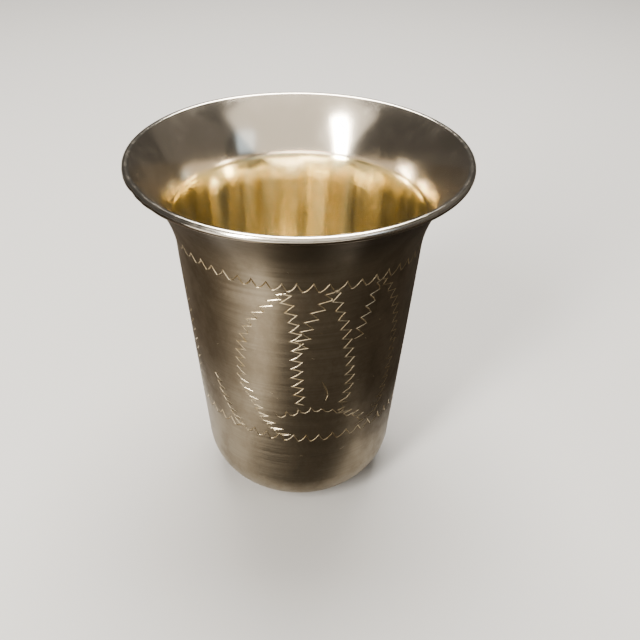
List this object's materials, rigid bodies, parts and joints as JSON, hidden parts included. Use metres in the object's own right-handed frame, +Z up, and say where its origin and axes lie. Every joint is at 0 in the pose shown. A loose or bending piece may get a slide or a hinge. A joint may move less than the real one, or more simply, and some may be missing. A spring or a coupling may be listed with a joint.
{
  "type": "kiddush cup",
  "caption": "Small round silver kiddush cup with a flared, rolled lip, gilt inside, and an engraved zigzag border of bands and pointed panels.",
  "frame": {"origin": "middle of the flat underside, on the surface the cup stands on", "axes": "+Z up along the cup's axis, -Y towards the front of the cup"},
  "size_m": [0.06, 0.06, 0.0697],
  "materials": {
    "silver": "satin silver outside with a polished lip, and gilt inside"
  },
  "bodies": {
    "root": {"cup": "silver"}
  },
  "joints": []
}
